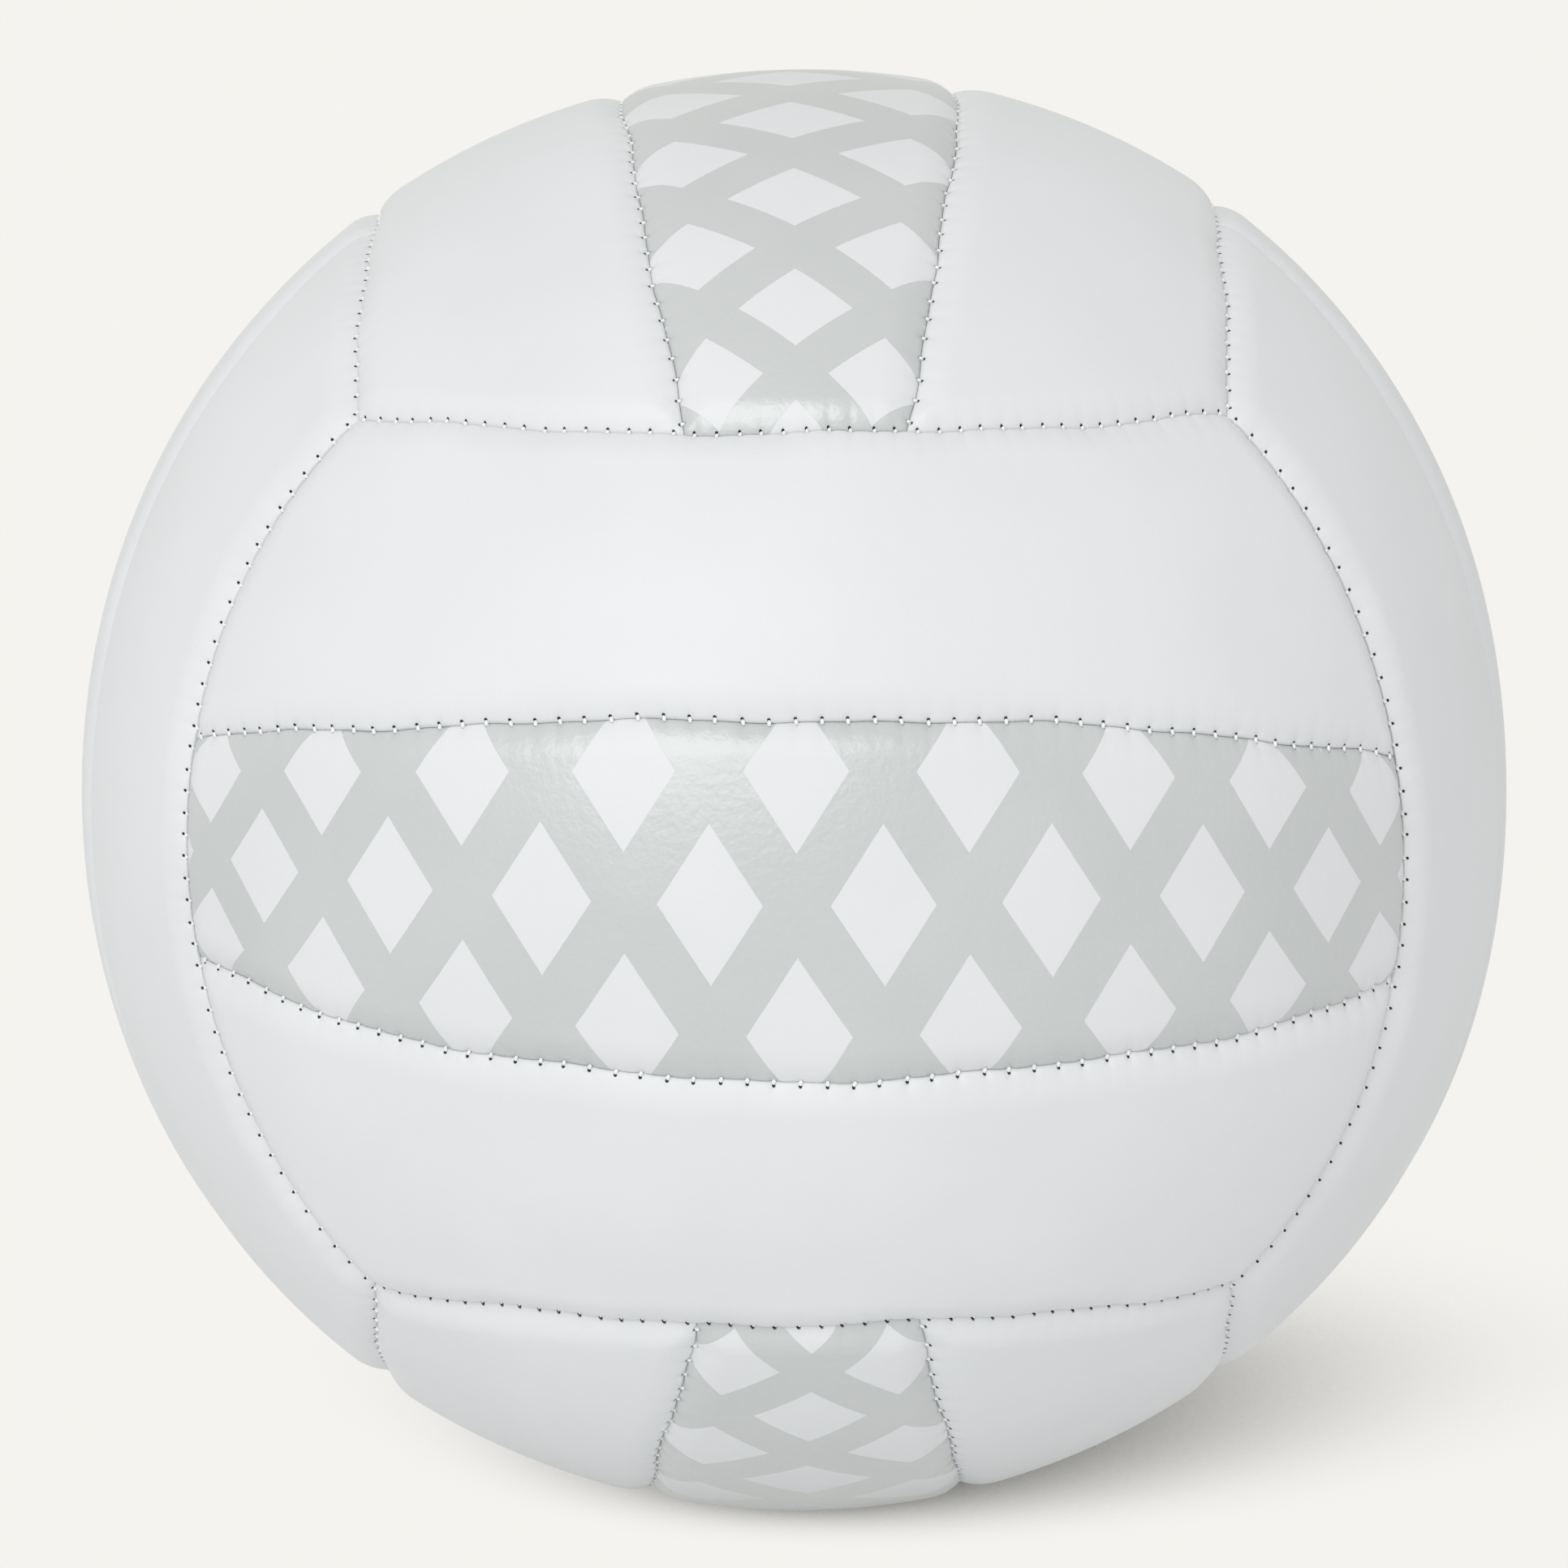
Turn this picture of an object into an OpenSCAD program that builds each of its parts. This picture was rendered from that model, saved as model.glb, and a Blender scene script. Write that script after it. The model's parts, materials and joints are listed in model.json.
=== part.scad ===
// Volleyball with eighteen padded panels, six faces of three strips each.
// Origin at the ball's centre, +Z up, and the front face looks along -Y.
// Every panel is a tray of synthetic leather that holds a foam pad and a cloth lining,
// its edges rolled down to the seams, with the inflated bladder inside them all.

/* [Ball] */
// Diameter over the crowns of the panels
ball_d = 210; // [200:1:220]
// Angle from the middle of a face to the seam beside its middle strip
strip_half_angle = 13.3; // [11:0.1:15]

/* [Cover] */
// Thickness of the synthetic leather
cover_t = 1; // [0.8:0.1:1.2]
// Gap between the turned-in edges of two panels
seam_gap = 0.1; // [0.06:0.02:0.2]
// Radius of a panel's rolled edge
edge_roll_r = 9; // [7:0.5:12]
// Depth of a seam below the crowns
edge_drop = 1.4; // [1:0.1:1.8]
// Angle at which the turned-in edges of two faces spread apart below their seam
edge_spread = 1.5; // [1:0.5:3]

/* [Padding] */
// Thickness of the foam pads
foam_t = 2.6; // [2:0.1:4]
// Thickness of the cloth linings
lining_t = 0.4; // [0.3:0.1:0.8]
// Clearance between two layers
layer_gap = 0.1; // [0.06:0.02:0.16]

/* [Bladder] */
// Wall of the rubber bladder
bladder_t = 0.8; // [0.6:0.1:1.2]
// Clearance between the linings and the bladder
bladder_gap = 0.2; // [0.1:0.05:0.4]

/* [Stitching] */
// Thickness of the thread
thread_d = 0.7; // [0.5:0.05:0.8]
// Length of thread that shows in one stitch, across the seam
stitch_len = 1.5; // [1.1:0.1:1.8]
// Spacing of the stitches beside the middle strips
strip_stitch_pitch = 3.5; // [3:0.1:4.5]
// Spacing of the stitches between two faces
face_stitch_pitch = 3; // [2.6:0.1:4]
// Slant of a stitch from square to its seam
stitch_slant = 12; // [0:1:25]
// Clearance between a stitch and the rolled edges under it
stitch_seat = 0.05; // [0.02:0.01:0.1]

/* [Valve] */
// Diameter of the boot's neck, which shows in the cover
neck_d = 8; // [7:0.2:9]
// Depth of the valve's face below the crown
valve_recess = 0.5; // [0.3:0.1:0.9]
// Radial clearance between the neck and the hole through the panel and the bladder
neck_gap = 0.2; // [0.1:0.05:0.4]
// Diameter of the boot's flange inside the bladder
flange_d = 26; // [20:1:32]
// Thickness of the boot's flange
flange_t = 1.2; // [0.8:0.1:1.6]
// Length of the boot's stem below its flange
stem_len = 12; // [9:1:16]
// Diameter of the insert
insert_d = 4.4; // [4:0.1:4.8]
// Diameter of the insert's head
insert_head_d = 5.8; // [5.4:0.1:6.2]
// Thickness of the insert's head
insert_head_t = 1; // [0.7:0.1:1.4]
// Clearance between the insert and the boot, and between the boot and the bladder
rubber_gap = 0.06; // [0.04:0.01:0.1]
// Diameter of the hole for the inflating needle
needle_d = 2; // [1.6:0.1:2.2]
// Depth of the needle's hole below its funnel
needle_depth = 13; // [9:0.5:14]
// Depth of the funnel that leads the needle in
funnel_depth = 0.7; // [0.4:0.1:1]
// Radius of the valve's soft edges
valve_edge_r = 0.5; // [0.3:0.05:0.6]

/* [Hidden] */
$fn = 96;
// How far a cut runs past what it cuts
overrun = 1;
// How far a rolled edge rises past the crown, so that the two surfaces cross at a fine crease
roll_rise = 0.04;

ball_r = ball_d / 2;
// The seams between faces are the circles through the eight corners of a cube in the ball
face_seam_lat = asin(1 / sqrt(3));
// Half the sweep of a seam, from the middle of its face to where it meets other seams
face_seam_sweep = 45;
strip_seam_sweep = acos(sin(face_seam_lat) / cos(strip_half_angle));

// Radii of the layers, from the outside in
foam_inset = cover_t + layer_gap;
foam_r_in = ball_r - foam_inset - foam_t;
lining_r = foam_r_in - layer_gap;
tray_r_in = lining_r - lining_t;
bladder_r = tray_r_in - bladder_gap;
bladder_r_in = bladder_r - bladder_t;

// Centre of the rolled edge's circle, in polar form from the ball's centre
roll_centre_r = ball_r - edge_roll_r + roll_rise;
lip_r = norm([ball_r - edge_drop, seam_gap / 2]);
roll_centre_angle = asin(seam_gap / 2 / lip_r)
    + acos((pow(lip_r, 2) + pow(roll_centre_r, 2) - pow(edge_roll_r, 2)) / (2 * lip_r * roll_centre_r));
roll_centre = roll_centre_r * [cos(roll_centre_angle), -sin(roll_centre_angle)];

// A stitch lies on the rolled edges at its two ends
stitch_reach = -roll_centre.y - stitch_len / 2;
stitch_rest_r = roll_centre.x + sqrt(pow(edge_roll_r, 2) - pow(stitch_reach, 2));
stitch_r = stitch_rest_r + stitch_seat + thread_d / 2;

// The valve, with heights measured from the ball's centre
valve_top = ball_r - valve_recess;
flange_r_out = bladder_r_in - rubber_gap;
flange_r_in = flange_r_out - flange_t;
stem_bottom = flange_r_in - stem_len;
insert_bottom = stem_bottom + flange_t;
head_bottom = valve_top - insert_head_t;

// Face name, its turn from the panel frame, its strips from -Y to +Y of that frame,
// and whether its middle strip carries the silvery print.
// In the panel frame +Z leaves the face and the strips run along X.
FACES = [
    ["front", [90, 0, 0], ["lower", "middle", "upper"], true],
    ["back", [90, 0, 180], ["lower", "middle", "upper"], true],
    ["top", [0, 0, 90], ["right", "middle", "left"], true],
    ["bottom", [0, 180, 90], ["right", "middle", "left"], true],
    ["left", [0, -90, 0], ["front", "middle", "rear"], false],
    ["right", [0, -90, 180], ["rear", "middle", "front"], false]
];
VALVE_FACE = FACES[1];

function panel_name(face, side) = str(face[0], "_", face[2][side + 1]);
function all_panels(layer) = [for (face = FACES, side = [-1:1]) str(layer, "_", panel_name(face, side))];

// Colours as the photograph shows them
WHITE_LEATHER = [0.90, 0.91, 0.915];
PRINTED_LEATHER = [0.83, 0.845, 0.845];
FOAM = [0.93, 0.91, 0.84];
CLOTH = [0.82, 0.82, 0.80];
BUTYL = [0.16, 0.16, 0.17];
VALVE_RUBBER = [0.86, 0.86, 0.85];
THREAD = [0.96, 0.965, 0.97];

// Profile of what lies beyond a seam, for a panel on the -Y side of the seam's line along X.
// inset is how far the layer lies inside the panel's outer skin.
module beyond_seam(inset, spread) {
    translate([ball_r, -seam_gap / 2]) rotate(spread)
        translate([-ball_d, -inset]) square([2 * ball_d, ball_d]);
    difference() {
        translate(roll_centre) square([ball_r, -roll_centre.y]);
        translate(roll_centre) circle(edge_roll_r - inset);
    }
}

// Cap of one face inside its two end seams, between two radii, with the rim rolled down
module face_cap(inset, r_out, r_in) {
    rotate_extrude() intersection() {
        square(ball_r);
        difference() {
            circle(r_out);
            circle(r_in);
            rotate(face_seam_lat) mirror([0, 1]) beyond_seam(inset, edge_spread);
        }
    }
}

// Everything beyond a seam in the seam's own frame, where +Z is the axis of its circle
module seam_cutter(inset, latitude, spread) {
    rotate_extrude() intersection() {
        translate([0, -ball_r]) square([ball_d, ball_d + ball_r]);
        rotate(latitude) beyond_seam(inset, spread);
    }
}

// From a seam's frame to the panel frame: the seam's axis along +Y, its middle towards +Z
module along_strip() {
    rotate([-90, -90, 0]) children();
}

// To the strip on the other side of the face's middle where side is negative
module on_side(side) {
    mirror([0, side < 0 ? 1 : 0, 0]) children();
}

// One layer of one panel: side 0 is the middle strip, -1 and 1 the outer strips
module panel_layer(side, inset, r_out, r_in) {
    difference() {
        face_cap(inset, r_out, r_in);
        if (side == 0) {
            for (way = [-1, 1])
                on_side(way) rotate([-strip_half_angle, 0, 0]) along_strip() seam_cutter(inset, 0, 0);
        } else {
            on_side(-side) rotate([strip_half_angle, 0, 0]) along_strip() seam_cutter(inset, 0, 0);
            on_side(side) along_strip() seam_cutter(inset, face_seam_lat, edge_spread);
        }
    }
}

module on_face(face) {
    rotate(face[1]) children();
}

// Hole through the layers for the neck of the valve
module valve_hole() {
    cylinder(h = ball_r + overrun, d = neck_d + 2 * neck_gap);
}

module cover(face, side) {
    color(side == 0 && face[3] ? PRINTED_LEATHER : WHITE_LEATHER)
    on_face(face) difference() {
        panel_layer(side, 0, ball_r, tray_r_in);
        panel_layer(side, cover_t, ball_r - cover_t, tray_r_in - overrun);
        if (face == VALVE_FACE && side == 0) valve_hole();
    }
}

module foam(face, side) {
    color(FOAM)
    on_face(face) difference() {
        panel_layer(side, foam_inset, ball_r - foam_inset, foam_r_in);
        if (face == VALVE_FACE && side == 0) valve_hole();
    }
}

module lining(face, side) {
    color(CLOTH)
    on_face(face) difference() {
        panel_layer(side, foam_inset, lining_r, tray_r_in);
        if (face == VALVE_FACE && side == 0) valve_hole();
    }
}

module bladder() {
    color(BUTYL)
    on_face(VALVE_FACE) difference() {
        sphere(bladder_r);
        sphere(bladder_r_in);
        valve_hole();
    }
}

// Rubber moulding bonded inside the bladder, with a neck that fills the hole in the cover
module valve_boot() {
    color(VALVE_RUBBER)
    on_face(VALVE_FACE) rotate_extrude() {
        difference() {
            union() {
                intersection() {
                    difference() {
                        circle(flange_r_out);
                        circle(flange_r_in);
                    }
                    square([flange_d / 2, ball_r]);
                }
                translate([0, stem_bottom]) square([neck_d / 2, head_bottom - stem_bottom]);
                translate([0, head_bottom]) square([neck_d / 2 - valve_edge_r, insert_head_t]);
                translate([0, head_bottom]) square([neck_d / 2, insert_head_t - valve_edge_r]);
                translate([neck_d / 2 - valve_edge_r, valve_top - valve_edge_r]) circle(valve_edge_r);
            }
            translate([0, insert_bottom - rubber_gap]) square([insert_d / 2 + rubber_gap, ball_r]);
            translate([0, head_bottom - rubber_gap]) square([insert_head_d / 2 + rubber_gap, ball_r]);
        }
    }
}

// Plug pressed into the boot, with the funnel and the blind hole for the needle
module valve_insert() {
    color(VALVE_RUBBER)
    on_face(VALVE_FACE) rotate_extrude() {
        difference() {
            union() {
                translate([0, insert_bottom]) square([insert_d / 2, head_bottom - insert_bottom]);
                translate([0, head_bottom]) square([insert_head_d / 2, insert_head_t]);
            }
            translate([0, valve_top - funnel_depth - needle_depth]) square([needle_d / 2, ball_r]);
            polygon([
                [0, valve_top - funnel_depth], [needle_d / 2, valve_top - funnel_depth],
                [needle_d / 2 + funnel_depth, valve_top], [needle_d / 2 + funnel_depth, ball_r], [0, ball_r]
            ]);
        }
    }
}

// Stitches along one seam in the seam's frame, evenly spaced inside its two ends
module stitch_row(latitude, sweep, pitch) {
    row_len = 2 * sweep * PI / 180 * stitch_r * cos(latitude);
    count = floor(row_len / pitch);
    for (i = [0:count - 1])
        rotate([0, 0, sweep * ((2 * i + 1) / count - 1)])
        rotate([0, -latitude, 0])
        translate([stitch_r, 0, 0])
        rotate([stitch_slant, 0, 0])
        cylinder(h = stitch_len, d = thread_d, center = true);
}

module face_seam_stitches() {
    color(THREAD)
    for (face = FACES, way = [-1, 1])
        on_face(face) along_strip() stitch_row(way * face_seam_lat, face_seam_sweep, face_stitch_pitch);
}

module strip_seam_stitches() {
    color(THREAD)
    for (face = FACES, way = [-1, 1])
        on_face(face) rotate([way * strip_half_angle, 0, 0]) along_strip()
        stitch_row(0, strip_seam_sweep, strip_stitch_pitch);
}

for (face = FACES, side = [-1:1]) {
    cover(face, side);
    foam(face, side);
    lining(face, side);
}
bladder();
valve_boot();
valve_insert();
face_seam_stitches();
strip_seam_stitches();
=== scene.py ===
"""The looks of a padded volleyball: eighteen panels, their stitching, the valve and a studio."""
import json
import math

import bpy
import numpy as np
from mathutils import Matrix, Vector
from mathutils.kdtree import KDTree

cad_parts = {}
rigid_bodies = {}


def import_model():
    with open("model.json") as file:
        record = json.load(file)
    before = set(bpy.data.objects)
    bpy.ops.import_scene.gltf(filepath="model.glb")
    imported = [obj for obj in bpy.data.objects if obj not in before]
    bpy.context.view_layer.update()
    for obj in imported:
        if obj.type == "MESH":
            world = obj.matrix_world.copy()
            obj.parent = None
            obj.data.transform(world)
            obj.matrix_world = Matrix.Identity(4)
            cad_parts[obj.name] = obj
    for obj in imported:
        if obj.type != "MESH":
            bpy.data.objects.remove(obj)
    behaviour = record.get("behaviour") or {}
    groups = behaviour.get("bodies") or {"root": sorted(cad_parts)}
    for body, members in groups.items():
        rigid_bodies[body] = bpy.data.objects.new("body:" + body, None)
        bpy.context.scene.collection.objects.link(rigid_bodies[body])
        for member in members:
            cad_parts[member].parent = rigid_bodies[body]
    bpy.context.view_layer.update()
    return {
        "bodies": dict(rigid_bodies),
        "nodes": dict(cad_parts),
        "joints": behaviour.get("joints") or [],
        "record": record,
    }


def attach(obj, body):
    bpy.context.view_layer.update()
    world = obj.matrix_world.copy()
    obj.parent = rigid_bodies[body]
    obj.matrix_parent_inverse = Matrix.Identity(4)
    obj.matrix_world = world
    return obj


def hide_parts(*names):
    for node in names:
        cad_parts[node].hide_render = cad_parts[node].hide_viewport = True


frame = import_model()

# Sizes of the ball are in millimetres until mesh_piece() makes metres of them. Those of materials
# and of the studio are in metres. Angles are in radians.
MM = 0.001

# The ball and its layers, from the outside in
BALL_R = 105.0
COVER_T = 1.0
LAYER_GAP = 0.1
FOAM_T = 2.6
LINING_T = 0.4
FOAM_INSET = COVER_T + LAYER_GAP
FOAM_R_IN = BALL_R - FOAM_INSET - FOAM_T
LINING_R = FOAM_R_IN - LAYER_GAP
TRAY_R_IN = LINING_R - LINING_T

# The seams: circles between faces through the corners of a cube, and near to great circles beside
# the middle strips, a little wider apart at their ends
STRIP_HALF_ANGLE = math.radians(13.3)
STRIP_SEAM_LAT = math.radians(1.1)
STRIP_SEAM_TILT = STRIP_HALF_ANGLE - STRIP_SEAM_LAT
FACE_SEAM_LAT = math.asin(1 / math.sqrt(3))
FACE_SEAM_SWEEP = math.radians(45)
STRIP_SEAM_SWEEP = math.acos(
    (math.sin(FACE_SEAM_LAT) + math.sin(STRIP_SEAM_LAT) * math.sin(STRIP_SEAM_TILT))
    / (math.cos(STRIP_SEAM_LAT) * math.cos(STRIP_SEAM_TILT))
)
FACE_SEAM_GAP = 0.04
STRIP_SEAM_GAP = 0.03

# The rolled edge of a panel, and the tight lip where it turns into the seam
EDGE_ROLL_R = 9.0
EDGE_DROP = 1.4
FACE_LIP_DEPTH = 0.18
STRIP_LIP_DEPTH = 0.30
LIP_REACH = 0.17
# Power that joins the drops of two seams where they meet at a corner
CORNER_POWER = 3

# Stitches
FACE_STITCH_PITCH = 3.0
STRIP_STITCH_PITCH = 3.5
MEAN_PITCH = (FACE_STITCH_PITCH + STRIP_STITCH_PITCH) / 2
# The radius at which the pitches are measured
STITCH_R = 104.2
STITCH_JITTER = 0.14
# How hard the stitches pull, from the weakest to the strongest
PULLS = (0.6, 1.4)
# The stitches of a seam: where each starts and ends across the seam, the thread's radius, where
# its needle hole is, and the size of that hole
STRIP_THREAD = (-0.20, 0.24, 0.26, 0.48, 1.0)
SMALL_THREAD = (-0.16, 0.18, 0.20, 0.38, 1.0)
FACE_THREAD = (0.0, 0.15, 0.26, 0.50, 1.0)
# Drawn in tight, with its holes stretched open
TIGHT_THREAD = (0.0, 0.05, 0.17, 0.36, 1.35)
THREAD_RISE = 0.10
THREAD_SINK = 0.50
# Power of a stitch's curve: higher is flatter on top
THREAD_FLATNESS = 4
THREAD_SLANT = math.radians(12)
THREAD_SLANT_JITTER = math.radians(8)
THREAD_SIDES = 14
THREAD_RINGS = 15
PLIES = 2
PLY_DEPTH = 0.10
PLY_TURNS = 0.8
# The needle's holes: radius, depth, and the share of the radius that is painted fully dark as shade
HOLE_R = 0.27
HOLE_DEPTH = 0.40
HOLE_SHADE_CORE = 0.65
# How faint the needle's hole, its pit and its painted shade, is on the side where the thread covers
# it
FAINT_HOLE = 0.3
# No hole is drawn this near to a panel's corner
CORNER_CLEAR = 1.0
FAR_FROM_SEAM = 50.0

# How the stitches pull the cover in: a dimple at each, and a shallow furrow that runs on from it
STRIP_DIMPLE_DEPTH = 0.22
FACE_DIMPLE_DEPTH = 0.10
DIMPLE_ALONG = 0.62
DIMPLE_ACROSS = 1.0
FURROW_DEPTH = 0.075
FURROW_ACROSS = 3.6

# Sideways wander of a sewn seam: wavelengths, and how far each sways
SWAY_WAVES = (61.0, 27.0, 11.0)
SWAY_SIZES = (0.30, 0.20, 0.07)
SWAY_FADE = 6.0
SWAY_REACH = 4.0

# Hand-made unevenness of the blown-up ball: (way out, spread as an angle, height)
SWELLS = (
    ((0.56, 0.0, 0.83), math.radians(26), 1.3),
    ((1.0, 0.0, 0.0), math.radians(19), -1.2),
    ((-1.0, 0.0, 0.05), math.radians(24), -0.6),
    ((-0.5, -0.2, -0.85), math.radians(25), 0.4),
    ((0.2, 0.75, 0.65), math.radians(22), 0.5),
    ((-0.6, 0.7, -0.4), math.radians(24), -0.4),
)
# Where the seams were sewn a little off their places: (way out, how far they moved)
TUGS = (
    ((-0.58, -0.58, 0.58), (-0.4, 0.2, -0.2)),
    ((0.58, -0.58, 0.58), (-0.9, 0.1, 1.0)),
    ((0.58, -0.58, -0.58), (1.0, 1.7, -0.7)),
    ((-0.58, -0.58, -0.58), (1.0, 0.0, -1.1)),
    ((-0.80, -0.58, 0.14), (0.5, -0.4, 0.9)),
    ((0.80, -0.58, 0.14), (-0.3, -0.6, -0.9)),
    ((0.80, -0.58, -0.14), (-0.5, -0.2, -1.9)),
    ((-0.80, -0.58, -0.14), (0.2, -0.4, 0.3)),
    ((-0.14, -0.80, 0.58), (0.5, 0.1, 0.3)),
    ((0.14, -0.80, 0.58), (-0.4, -0.1, 0.0)),
    ((-0.23, 0.00, 0.97), (-1.1, 0.0, -0.3)),
    ((0.23, 0.00, 0.97), (-0.7, 0.0, 0.2)),
    ((-0.14, -0.80, -0.58), (0.9, 0.2, -0.5)),
    ((0.14, -0.80, -0.58), (1.4, 0.8, -0.8)),
    ((-0.23, -0.20, -0.95), (1.9, 0.0, -0.4)),
    ((0.23, -0.20, -0.95), (0.6, 0.0, 0.1)),
)
TUG_SPREAD = math.radians(22)
# Above this radius the layers follow the unevenness in full, and below TRAY_R_IN not at all
FULL_GIVE_R = 104.0
# The skin's clearance over the floor that it rests on
REST_LIFT = 0.02

# Mesh steps
# Rings round a panel, by their distance from its seams, and the width of the band that they fill
SEAM_ROWS = (0.84, 0.72, 0.61, 0.50, 0.39, 0.28, 0.17, 0.08, 0.0)
SEAM_BAND = 1.0
# Steps of the skin's grid beside that band and in its middle, how many steps of a ring make one of
# the grid's, and the growth from one step to the next
BAND_STEP = 0.22
COVER_STEP = 0.46
RIM_EVERY = 4
STEP_GROWTH = 1.22
# The pads' step, and how many steps of the skin make one of the inner skin
PAD_STEP = 2.4
INNER_EVERY = 4
# Rings down a turned-in edge, as shares of its depth
SKIRT_LEVELS = (0.12, 0.45, 1.0)

# The valve, in the middle of the back face's middle strip
VALVE_WAY = np.array([0.0, 1.0, 0.0])
VALVE_HOLE_R = 4.2
VALVE_EDGE_DEPTH = 0.35
VALVE_EDGE_REACH = 0.7
VALVE_HOLE_SIDES = 96

SEED = 18
rng = np.random.default_rng(SEED)

# Face name, the way its strips run, the way across them, the way out, its strips from one side to
# the other, and whether its middle strip is printed
X, Y, Z = np.eye(3)
FACES = (
    ("front", X, Z, -Y, ("lower", "middle", "upper"), True),
    ("back", -X, Z, Y, ("lower", "middle", "upper"), True),
    ("top", Y, -X, Z, ("right", "middle", "left"), True),
    ("bottom", -Y, -X, -Z, ("right", "middle", "left"), True),
    ("left", Z, Y, -X, ("front", "middle", "rear"), False),
    ("right", Z, -Y, X, ("rear", "middle", "front"), False),
)
VALVE_PANEL = "back_middle"


def smooth(x):
    """Eases from 0 to 1 as x does."""
    x = np.clip(x, 0, 1)
    return x * x * (3 - 2 * x)


def unit(vectors):
    return vectors / np.linalg.norm(vectors, axis=-1, keepdims=True)


class Seam:
    """A sewn seam: an arc of a circle on the ball.

    The circle has an axis and a latitude about it. Azimuths are measured from the arc's middle, and
    offsets from the seam grow along the axis.
    """

    def __init__(
        self, axis, latitude, middle, sweep, pitch, gap, lip, dimple, thread, hole_way, slant
    ):
        self.axis, self.latitude, self.middle, self.sweep = axis, latitude, middle, sweep
        self.gap, self.lip, self.dimple, self.hole_way = gap, lip, dimple, hole_way
        self.thread_start, self.thread_end, self.thread_r, self.hole, self.hole_size = thread
        self.side = np.cross(axis, middle)
        self.radius = BALL_R * math.cos(latitude)
        count = int(2 * sweep * STITCH_R * math.cos(latitude) / pitch)
        even = sweep * ((2 * np.arange(count) + 1) / count - 1)
        self.stitches = even + rng.uniform(-STITCH_JITTER, STITCH_JITTER, count) / self.radius
        self.pull = rng.uniform(*PULLS, count)
        self.slants = slant + rng.uniform(-1, 1, count) * THREAD_SLANT_JITTER
        self.phases = rng.uniform(0, 2 * math.pi, len(SWAY_WAVES))

    def azimuth(self, ways):
        return np.arctan2(ways @ self.side, ways @ self.middle)

    def offset(self, ways):
        """Distance from the seam's circle, along its axis."""
        return (np.arcsin(np.clip(ways @ self.axis, -1, 1)) - self.latitude) * BALL_R

    def reach(self, ways):
        """Distance from the arc itself, which its two ends bound."""
        past = np.maximum(np.abs(self.azimuth(ways)) - self.sweep, 0) * self.radius
        return np.hypot(self.offset(ways), past)

    def ways(self, azimuth, offset=0.0):
        """Unit directions along the seam, or beside it by an offset."""
        latitude = self.latitude + offset / BALL_R
        round_axis = np.multiply.outer(np.cos(azimuth), self.middle)
        round_axis = round_axis + np.multiply.outer(np.sin(azimuth), self.side)
        return math.cos(latitude) * round_axis + math.sin(latitude) * self.axis

    def dimples(self, ways, inside):
        """How deep the stitches pull the cover in, this far inside the seam."""
        azimuth = self.azimuth(ways)
        between = (self.stitches[1:] + self.stitches[:-1]) / 2
        nearest = np.searchsorted(between, azimuth)
        along = (azimuth - self.stitches[nearest]) * self.radius / DIMPLE_ALONG
        dimple = self.dimple * np.exp(-((inside / DIMPLE_ACROSS) ** 2))
        furrow = FURROW_DEPTH * np.exp(-((inside / FURROW_ACROSS) ** 2))
        return self.pull[nearest] * np.exp(-(along**2)) * (dimple + furrow)

    def sway(self, azimuth):
        """How far the seam line has wandered along its axis."""
        along = azimuth * self.radius
        fade = smooth((self.sweep * self.radius - np.abs(along)) / SWAY_FADE)
        waves = zip(SWAY_WAVES, SWAY_SIZES, self.phases)
        return fade * sum(
            size * np.sin(2 * np.pi * along / wave + phase) for wave, size, phase in waves
        )

    def hole_at(self, sign):
        """Distance from the seam to its needle holes on one side."""
        return self.hole if sign == self.hole_way else self.thread_r / 2 - self.thread_start

    def hole_count(self, azimuth, sign):
        """Counts needle holes along one side of the seam, a whole number at each hole."""
        count = len(self.stitches)
        holes = self.stitches + sign * np.tan(self.slants) * self.hole_at(sign) / self.radius
        ends = np.concatenate([[-self.sweep], holes, [self.sweep]])
        return np.interp(azimuth, ends, np.concatenate([[-0.5], np.arange(count), [count - 0.5]]))


def make_seams():
    """The seams: by (face name, -1 or 1) beside a strip, and by seam_key() between faces."""
    beside, between = {}, {}
    for name, _, across, out, _, _ in FACES:
        strip_thread = SMALL_THREAD if name in ("top", "bottom") else STRIP_THREAD
        for way in (-1, 1):
            axis = way * math.cos(STRIP_SEAM_TILT) * across - math.sin(STRIP_SEAM_TILT) * out
            middle = math.cos(STRIP_SEAM_TILT) * out + way * math.sin(STRIP_SEAM_TILT) * across
            beside[name, way] = Seam(
                axis, STRIP_SEAM_LAT, middle, STRIP_SEAM_SWEEP, STRIP_STITCH_PITCH, STRIP_SEAM_GAP,
                STRIP_LIP_DEPTH, STRIP_DIMPLE_DEPTH, strip_thread, 1, -way * THREAD_SLANT,
            )
            hole_way = -1 if name in ("left", "right") else 1
            face_thread = TIGHT_THREAD if (name, way) == ("front", -1) else FACE_THREAD
            between[seam_key(way * across, out)] = Seam(
                way * across, FACE_SEAM_LAT, out, FACE_SEAM_SWEEP, FACE_STITCH_PITCH, FACE_SEAM_GAP,
                FACE_LIP_DEPTH, FACE_DIMPLE_DEPTH, face_thread, hole_way, -way * THREAD_SLANT,
            )
    return beside, between


def seam_key(axis, middle):
    """A key for a seam between faces, from its axis and the way to its middle."""
    return tuple(np.rint(np.concatenate([axis, middle])).astype(int))


BESIDE, BETWEEN = make_seams()
ALL_SEAMS = list(BESIDE.values()) + list(BETWEEN.values())


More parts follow.
